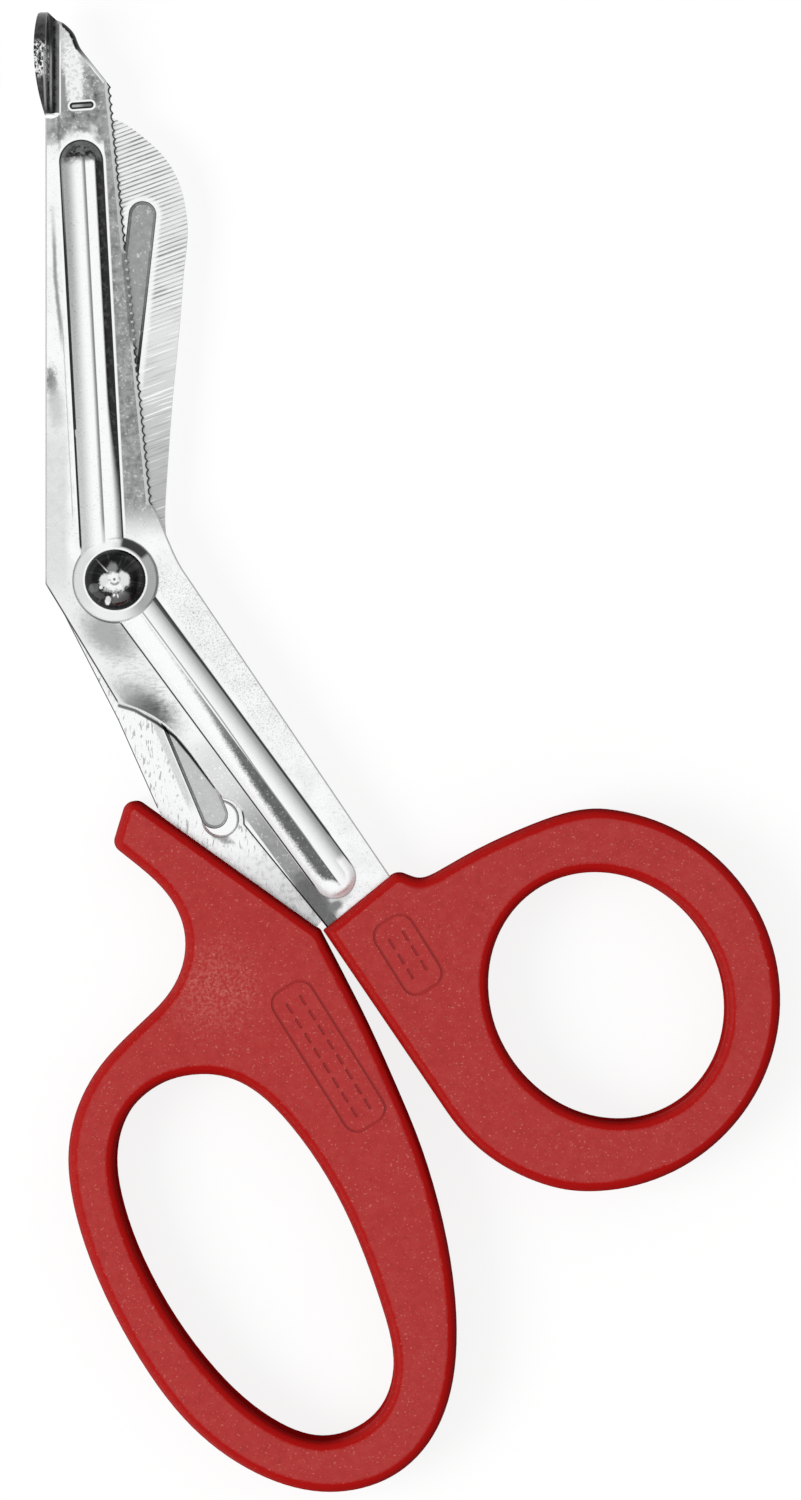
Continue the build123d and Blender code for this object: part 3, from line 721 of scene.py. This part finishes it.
        # stamped mark: dark rim, grey floor, pale halo
        zone = self.look["stamp"]
        turn = math.radians(zone["tilt"])
        reach = (zone["halfLength"] * math.cos(turn), zone["halfLength"] * math.sin(turn))
        middle = zone["place"]
        start = (middle[0] - reach[0], middle[1] - reach[1])
        end = (middle[0] + reach[0], middle[1] + reach[1])
        distance, along, left = self.toLine(start, end)
        self.mark(tone(248), self.fall(distance, *zone["halo"]))
        self.mark(tone(48), self.fall(distance, *zone["rim"]))
        self.mark(self.step(along, 0.6, 1.6, tone(178), tone(120)), self.fall(distance, *zone["floor"]))

    def drawNose(self):
        # nose in painted reflection: black along the hollow rim at the top, then a pale line
        zone = self.look["nose"]
        rim = self.band(self.lean, *zone["slope"]) * self.step(self.up, *zone["bottom"])
        rim = rim * self.step(self.edgeDistance, 0.9, 1.0) * self.step(self.across, *zone["left"])
        noseTone = self.step(self.lean, *zone["tones"])
        self.mark(self.cover(noseTone, tone(26), self.step(self.up, *zone["black"])), rim)

    def drawFoot(self):
        # foot in painted reflection: a speckled rim, a pale inner line and a dark bend with a sheen, then a
        # pale outer line
        zone = self.look["foot"]
        rimTone = tone(40) + 0.22 * (self.mottle - 0.42).larger(0.0)
        pocks = self.step(self.grain(zone["pockSize"], 3.0, 0.7), *zone["pocks"])
        rimTone = self.cover(rimTone, pocks, self.band(self.up, *zone["pockReach"]))
        innerLine = self.band(self.across, *zone["innerLine"]) * self.band(self.up, *zone["innerLineReach"])
        rimTone = self.cover(rimTone, tone(176), innerLine)
        bend = self.step(self.across, *zone["bend"]) + 0.2 * self.uneven
        rimTone = self.cover(rimTone, bend, self.step(self.across, *zone["bendLeft"]))
        sheen = self.band(self.across + self.uneven * 0.2, *zone["sheen"])
        rimTone = self.cover(rimTone, tone(196), sheen * self.band(self.up, *zone["sheenReach"]))
        onFoot = self.step(self.up, *zone["bottom"]) * self.fall(self.across, *zone["right"])
        self.mark(rimTone, onFoot * self.step(self.height, *zone["floor"]) * self.step(self.lean, -0.1, 0.0))
        outerLine = self.band(self.across, *zone["outerLine"]) * self.band(self.up, *zone["outerLineReach"])
        self.mark(tone(250), outerLine)
        self.softPatch(tone(250), zone["notch"], 0.6, 0.0, (0.8, 1.1, 1.0, 0.0))


def makeFrontSteel():
    finish = FrontSteel()
    finish.drawFlats()
    finish.drawStrip()
    finish.drawTipFlat()
    finish.drawLeftFlat()
    finish.drawShank()
    finish.drawBead()
    finish.drawRib()
    finish.drawShankEdges()
    finish.drawBoss()
    finish.drawRims()
    finish.drawTeeth()
    finish.drawStamp()
    finish.drawNose()
    finish.drawFoot()
    onSheet = finish.fall(finish.height, 6.5, 6.6)  # the foot's walls above the sheet keep the foot's finish
    finish.drawUnderside(finish.grains, finish.fall(abs(finish.lean), 0.12, 0.2) * onSheet)
    finish.shade = finish.shade.larger(0.01)
    peel = finish.step(finish.ribLeft, 2.8, 3.4) * finish.step(finish.up, 0.0, 2.0, 1.0, 0.2)
    finish.wearSteel(finish.fine * (0.5 + peel) + finish.mottle * 0.4)
    return finish


rearLook = {
    "cloudSize": 0.3,
    "roughness": (0.20, 0.32),
    "grindAngle": 20.0,  # degrees from +X
    "grindPitch": 0.53,
    "grindTones": (8.0, 40.0, tone(184), tone(238)),
    "grindStrong": (30.0, 38.0),
    "grindCloud": (0.35, 0.6, 0.6, 1.0),
    "grindRight": (3.0, 11.5, 1.0, 0.6),
    "whiteLineTop": (33.0, 40.0, 1.0, 0.2),
    "shankTop": (-2.0, 0.0),
    "dashSize": (3.6, 0.9, 1.0),
    "smudge": ((13.2, -32.4), 2.0, 0.7, -30.0), "smudgeTone": tone(150),
    "lowerTones": (-41.0, -34.0, tone(205), tone(240)),
    "lowerTop": (-36.0, -33.0, 0.8, 0.0),
    # line, tone of the floor, and whether a grey stripe of painted reflection runs on its right
    "grooves": [(((-1.8, 0.0), (3.346, 46.31)), 158, False), (((0.0, 0.0), (12.45, -29.73)), 196, True)],
    "grooveHalf": 1.75,
    "grooveHalo": (0.35, 0.95),
    "grooveFloor": (-0.12, -0.02),
    "grooveRim": (-0.09, 0.01, 0.035),
    "nickSize": (1.6, 1.1, 1.0),
    "stripe": (0.15, 1.0, 0.12), "stripeReach": (12.0, 30.0, 1.5),
    "backPath": [(-6.76, -4.03), (0.26, -17.72), (5.19, -28.8)],
    "stepShadowPath": [(0.4, -15.9), (2.4, -16.5), (5.2, -18.1), (7.4, -19.8), (9.4, -22.2), (12.5, -26.2)],
    "bumpHeight": (4.75, 4.8), "bumpTop": (-25.0, -24.0),
}


def makeRearSteel():
    look = rearLook
    finish = Steel("plainBladeSteel", look)
    step, fall, band = finish.step, finish.fall, finish.band
    across, up, lean = finish.across, finish.up, finish.lean
    mottle, fine, uneven = finish.mottle, finish.fine, finish.uneven

    # ground face: fine parallel lines that rise to the right
    turn = math.radians(look["grindAngle"])
    rise = across * -math.sin(turn) + up * math.cos(turn)
    run = across * math.cos(turn) + up * math.sin(turn)
    lay = finish.node("ShaderNodeCombineXYZ", None, {0: run * 0.12, 1: rise * 3.2, 2: 0.0})
    scratch = finish.noise(lay, 1.0, 2.0, 0.6)
    wave = ((rise + (scratch - 0.5) * 0.3) * (2.0 * math.pi / look["grindPitch"])).sine()
    strong = step(up, *look["grindStrong"]) * step(finish.cloud, *look["grindCloud"])
    strong = strong * step(across, *look["grindRight"])
    whiteLines = step(scratch, 0.56, 0.66) * fall(wave, 0.0, 0.8) * step(up, *look["whiteLineTop"])
    ground = step(up, *look["grindTones"]) - 0.56 * step(wave, 0.0, 0.9) * strong
    finish.shade = ground + 0.38 * whiteLines - 0.12 * fall(scratch, 0.34, 0.46)

    # shank: white with short dark dashes along it, a smudge and a greyer end
    dashes = finish.grain(look["dashSize"], 2.0, 0.55)
    shank = tone(250) - 0.45 * step(dashes, 0.57, 0.67) - 0.10 * step(fine, 0.6, 0.7)
    finish.mark(shank, fall(up, *look["shankTop"]))
    finish.softPatch(look["smudgeTone"], look["smudge"], 0.0, 1.4, (0.5, 1.2, 0.9, 0.0))
    lower = step(up, *look["lowerTones"]) - 0.15 * step(mottle, 0.5, 0.65)
    finish.mark(lower, step(up, *look["lowerTop"]))

    # pressed grooves: grey floors with a thin dark rim of painted crease shade and a pale halo as a painted
    # highlight
    nicks = finish.grain(look["nickSize"], 4.0, 0.75)
    for line, level, striped in look["grooves"]:
        distance, reach, left = finish.toLine(*line)
        side = distance - look["grooveHalf"]
        finish.mark(tone(250), fall(side + uneven * 0.4, *look["grooveHalo"]) * 0.85)
        floor = tone(level) + uneven * 0.22 + finish.gritty * 0.10 + 0.30 * step(nicks, 0.58, 0.66)
        finish.mark(floor, fall(side, *look["grooveFloor"]))
        finish.mark(tone(66), band(side, *look["grooveRim"]))
        # a grey stripe of painted reflection on the slope beside the groove
        if striped:
            stripe = band(-left - look["grooveHalf"], *look["stripe"]) * band(reach, *look["stripeReach"])
            finish.mark(tone(214) - 0.1 * step(fine, 0.5, 0.6), stripe * 0.8)

    # painted shade: a thin dark rim along the shank's back, and a painted shadow line where the front blade's
    # step lies over it
    finish.mark(tone(70), fall(finish.toPath(look["backPath"]), 0.08, 0.16))
    stepShadowTone = step(across, 1.0, 7.0, tone(120), tone(40))
    finish.mark(stepShadowTone, fall(finish.toPath(look["stepShadowPath"]), 0.1, 0.3))

    # the stop bump round the lower groove's end stays bright, with painted shade on its slopes
    onBump = step(finish.height, *look["bumpHeight"]) * fall(up, *look["bumpTop"])
    finish.mark(step(lean, 0.2, 0.8, tone(196), tone(250)), onBump)

    finish.drawUnderside(step(fine, 0.6, 0.72), fall(abs(lean), 0.12, 0.2))
    finish.shade = finish.shade.larger(0.01).smaller(tone(250))
    finish.wearSteel(wave * 0.25 * step(up, 5.0, 8.0) + fine * 0.6)
    return finish


rivetLook = {
    "roughness": (0.13, 0.24),
    "rays": 26.0,  # steps of the ray noise in half a turn
    "headReflectionTone": tone(30),
    # painted highlights and reflections on the head: middle, half length, half width, tilt and grey level
    "patches": [
        ((-0.25, 1.35), 0.95, 0.7, 90.0, 136),
        ((0.75, -2.35), 1.35, 0.85, 15.0, 128),
        ((-2.6, -1.1), 0.72, 0.66, 0.0, 112),
        ((-2.0, -1.95), 0.9, 0.42, -20.0, 84),
        ((2.4, 1.5), 0.9, 0.4, 35.0, 58),
        ((-0.1, -0.35), 1.75, 1.3, 0.0, 246),
        ((1.15, 0.1), 1.15, 0.78, 110.0, 228),
        ((-1.3, -0.1), 0.85, 0.6, 70.0, 226),
        ((-0.85, -2.68), 0.62, 0.38, 80.0, 250),
        ((-1.7, -1.0), 0.26, 0.24, 0.0, 250),
        ((-0.05, -2.0), 0.24, 0.15, 60.0, 244),
        ((0.4, -2.1), 0.3, 0.13, 100.0, 240),
    ],
    "dimple": (0.48, 0.78, 0.1),
    "dimpleMiddle": (0.12, 0.22),
    "scratch": ((-2.43, 2.63), (-0.9, 1.02)),
    "headRim": (3.55, 3.72),
    "headFloor": (7.2, 7.3),  # the head is above this height
}


def makeRivetSteel():
    look = rivetLook
    finish = PieceFinish("rivetSteel")
    step, fall = finish.step, finish.fall
    radius = finish.toSpot((0.0, 0.0))
    turn = finish.up.angle(finish.across)
    mottle = finish.grain(1.4, 3.0, 0.65)
    spread = turn * (look["rays"] / math.pi)
    fan = finish.node("ShaderNodeCombineXYZ", None, {0: spread, 1: radius * 0.25, 2: 0.0})
    rays = finish.noise(fan, 0.8, 3.0, 0.6)

    # painted reflection: a dark ring with faint rays, with painted highlights and grey reflections in ragged
    # patches
    finish.shade = look["headReflectionTone"] + 0.06 * step(rays, 0.52, 0.7) + 0.02 * mottle
    ragged = (mottle - 0.5) * 0.7 + (finish.grain(4.0, 2.0, 0.6) - 0.5) * 0.5
    for spot, halfLength, halfWidth, tilt, level in look["patches"]:
        away = finish.inOval(spot, halfLength, halfWidth, tilt) + ragged
        finish.mark(tone(level), fall(away, 0.66, 1.14))

    # painted shade in the dimple in the bright middle, a scratch, and the black rim as painted reflection
    dimpleShade = finish.band(radius, *look["dimple"]) * fall(turn, 0.2, 0.9)
    finish.mark(tone(150), dimpleShade * step(mottle, 0.4, 0.55))
    finish.mark(tone(120), fall(radius, *look["dimpleMiddle"]))
    scratch = finish.toLine(*look["scratch"])[0]
    scratchTone = step(finish.up, 1.0, 2.4, tone(228), tone(110))
    finish.mark(scratchTone, step(scratch, 0.04, 0.13, 0.9, 0.0))
    finish.mark(tone(8), step(radius, *look["headRim"]))
    plain = step(mottle, 0.3, 0.7, tone(214), tone(168))
    shade = finish.cover(plain, finish.shade, step(finish.height, *look["headFloor"]))
    finish.wear(
        {
            "Base Color": finish.scaled(steelLook["tint"], shade.larger(0.006).smaller(tone(248))),
            "Metallic": 1.0,
            "Roughness": step(mottle, 0.3, 0.7, *look["roughness"]),
            "Normal": finish.bump(rays + mottle, 0.15, 0.02),
        }
    )
    return finish


washerLook = {
    "roughness": 0.3,
    "tones": (0.3, 0.75, tone(226), tone(170)),
    "ringRate": 22.0,  # radians of the rings' wave per millimetre
}


def makeWasherSteel():
    # turned rings round the rivet
    finish = PieceFinish("washerSteel")
    mottle = finish.grain(1.6, 3.0, 0.65)
    rings = ((finish.toSpot((0.0, 0.0)) + (mottle - 0.5) * 0.1) * washerLook["ringRate"]).sine()
    shade = finish.step(mottle, *washerLook["tones"]) - 0.08 * finish.step(rings, 0.0, 0.9)
    finish.wear(
        {
            "Base Color": finish.scaled(steelLook["tint"], shade),
            "Metallic": 1.0,
            "Roughness": washerLook["roughness"],
            "Normal": finish.bump(rings, 0.1, 0.02),
        }
    )
    return finish


plastic = makePlastic()
for node in ("thumb_handle", "finger_handle"):
    dress(node, plastic)
print("red handles finished")
dress("serrated_blade", makeFrontSteel())
print("serrated blade finished")
dress("plain_blade", makeRearSteel())
print("plain blade finished")
dress("pivot_rivet", makeRivetSteel())
dress("rivet_washer", makeWasherSteel())
print("rivet and washer finished")

studioLook = {
    "floorSize": 6.0,
    "floorDrop": 0.00002,
    "floorColour": 0.2,
    "floorGlow": 0.84,  # keeps the pale floor white on the picture, with the object's faint shadow
    "ambient": 0.5,
    "wallRadius": 0.9,
    "wallHeight": 0.8,
    # greys of the cloth round the scene, as shares of a full turn: darker on the right,
    # grey above and on the left, white at the lower left
    "cloth": [
        (0.0, 0.5), (0.10, 0.9), (0.17, 0.8), (0.33, 0.35),
        (0.5, 0.22), (0.6, 0.75), (0.72, 0.5), (1.0, 0.5),
    ],
    "clothFade": (0.2, 0.78),
}


def seenRays(graph):
    # 1 for the rays that show the background: straight, mirrored and through glass
    paths = graph.node("ShaderNodeLightPath", out="Is Camera Ray").socket.node
    kinds = ("Is Camera Ray", "Is Glossy Ray", "Is Transmission Ray")
    straight, mirrored, through = [Channel(graph, paths.outputs[kind]) for kind in kinds]
    return straight.larger(mirrored).larger(through)


def makeFloor():
    bpy.ops.object.select_all(action="DESELECT")
    place = (0.0, 0.0, -studioLook["floorDrop"])
    bpy.ops.mesh.primitive_plane_add(size=studioLook["floorSize"], location=place)
    floor = bpy.context.object
    floor.name = "floor"
    finish = Finish("paleFloor")
    glow = seenRays(finish) * studioLook["floorGlow"]
    finish.wear(
        {
            "Base Color": gray(studioLook["floorColour"]),
            "Roughness": 0.9,
            "Specular IOR Level": 0.0,
            "Emission Strength": 1.0,
            "Emission Color": finish.node("ShaderNodeCombineColor", None, {0: glow, 1: glow, 2: glow}),
        }
    )
    # seen from below the floor is clear, so the underside can be looked at
    clear = finish.node("ShaderNodeBsdfTransparent")
    below = finish.node("ShaderNodeNewGeometry", out="Backfacing")
    lit = Channel(finish, finish.shader.outputs["BSDF"])
    mixed = finish.node("ShaderNodeMixShader", None, {0: below, 1: lit, 2: clear})
    finish.tree.links.new(mixed.socket, finish.tree.nodes["Material Output"].inputs["Surface"])
    floor.data.materials.append(finish.material)
    floor.visible_diffuse = False


def makeCloth():
    height = studioLook["wallHeight"]
    bpy.ops.object.select_all(action="DESELECT")
    bpy.ops.mesh.primitive_cylinder_add(
        vertices=128,
        radius=studioLook["wallRadius"],
        depth=height,
        end_fill_type="NOTHING",
        location=(0.0, 0.0, height / 2),
    )
    wall = bpy.context.object
    wall.name = "studioCloth"
    cloth = Finish("studioCloth")
    across, up, rise = cloth.parts(cloth.node("ShaderNodeTexCoord", out="Object"))
    turn = up.angle(across) / (2.0 * math.pi) + 0.5
    stops = [(position, gray(level)[:3]) for position, level in studioLook["cloth"]]
    side = cloth.node("ShaderNodeValToRGB", {"stops": stops}, {"Fac": turn})
    fade = cloth.step(rise + height / 2, *studioLook["clothFade"])
    cloth.wear(
        {
            "Base Color": gray(0.0),
            "Specular IOR Level": 0.0,
            "Emission Strength": 1.0,
            "Emission Color": cloth.blend(fade, side, gray(1.0)),
        }
    )
    wall.data.materials.append(cloth.material)
    wall.visible_camera = False
    wall.visible_diffuse = False
    wall.visible_shadow = False
    wall.visible_transmission = False


def makeRoom():
    # a white room: full strength where it is seen, softer where it lights the piece
    world = bpy.data.worlds.new("studioRoom")
    bpy.context.scene.world = world
    world.use_nodes = True
    room = Graph(world.node_tree)
    level = room.step(seenRays(room), 0.0, 1.0, studioLook["ambient"], 1.0)
    background = world.node_tree.nodes["Background"]
    background.inputs["Color"].default_value = gray(1.0)
    world.node_tree.links.new(level.socket, background.inputs["Strength"])


lampLook = {
    "softKey": {"place": (-0.8, -0.2, 0.85), "size": 0.6, "power": 6.4},
    "softFill": {"place": (0.6, 0.5, 1.0), "size": 0.7, "power": 0.8},
}


def addLamp(name, place, size, power):
    # a square lamp turned towards the piece
    bpy.ops.object.select_all(action="DESELECT")
    bpy.ops.object.light_add(type="AREA", location=place)
    lamp = bpy.context.object
    lamp.name = name
    lamp.data.shape = "SQUARE"
    lamp.data.size = size
    lamp.data.energy = power
    lamp.rotation_euler = (-lamp.location).to_track_quat("-Z", "Y").to_euler()
    lamp.visible_glossy = False


makeFloor()
makeCloth()
makeRoom()
for name, look in lampLook.items():
    addLamp(name, **look)
print("studio made")

cameraLook = {
    "place": (-0.00092, 0.000195),
    "distance": 0.9,
    "plane": 0.0065,  # height at which the photograph's scale holds
    "frameHeight": 0.18975,
    "sensorWidth": 36.0,
}
bpy.ops.object.select_all(action="DESELECT")
cameraHeight = cameraLook["plane"] + cameraLook["distance"]
bpy.ops.object.camera_add(location=(*cameraLook["place"], cameraHeight), rotation=(0.0, 0.0, 0.0))
camera = bpy.context.object
camera.data.sensor_width = cameraLook["sensorWidth"]
camera.data.lens = camera.data.sensor_width * cameraLook["distance"] / cameraLook["frameHeight"]
camera.data.clip_start = 0.05
camera.data.clip_end = 20.0
bpy.context.scene.camera = camera
bpy.context.scene.view_settings.view_transform = "Standard"
print("camera made")
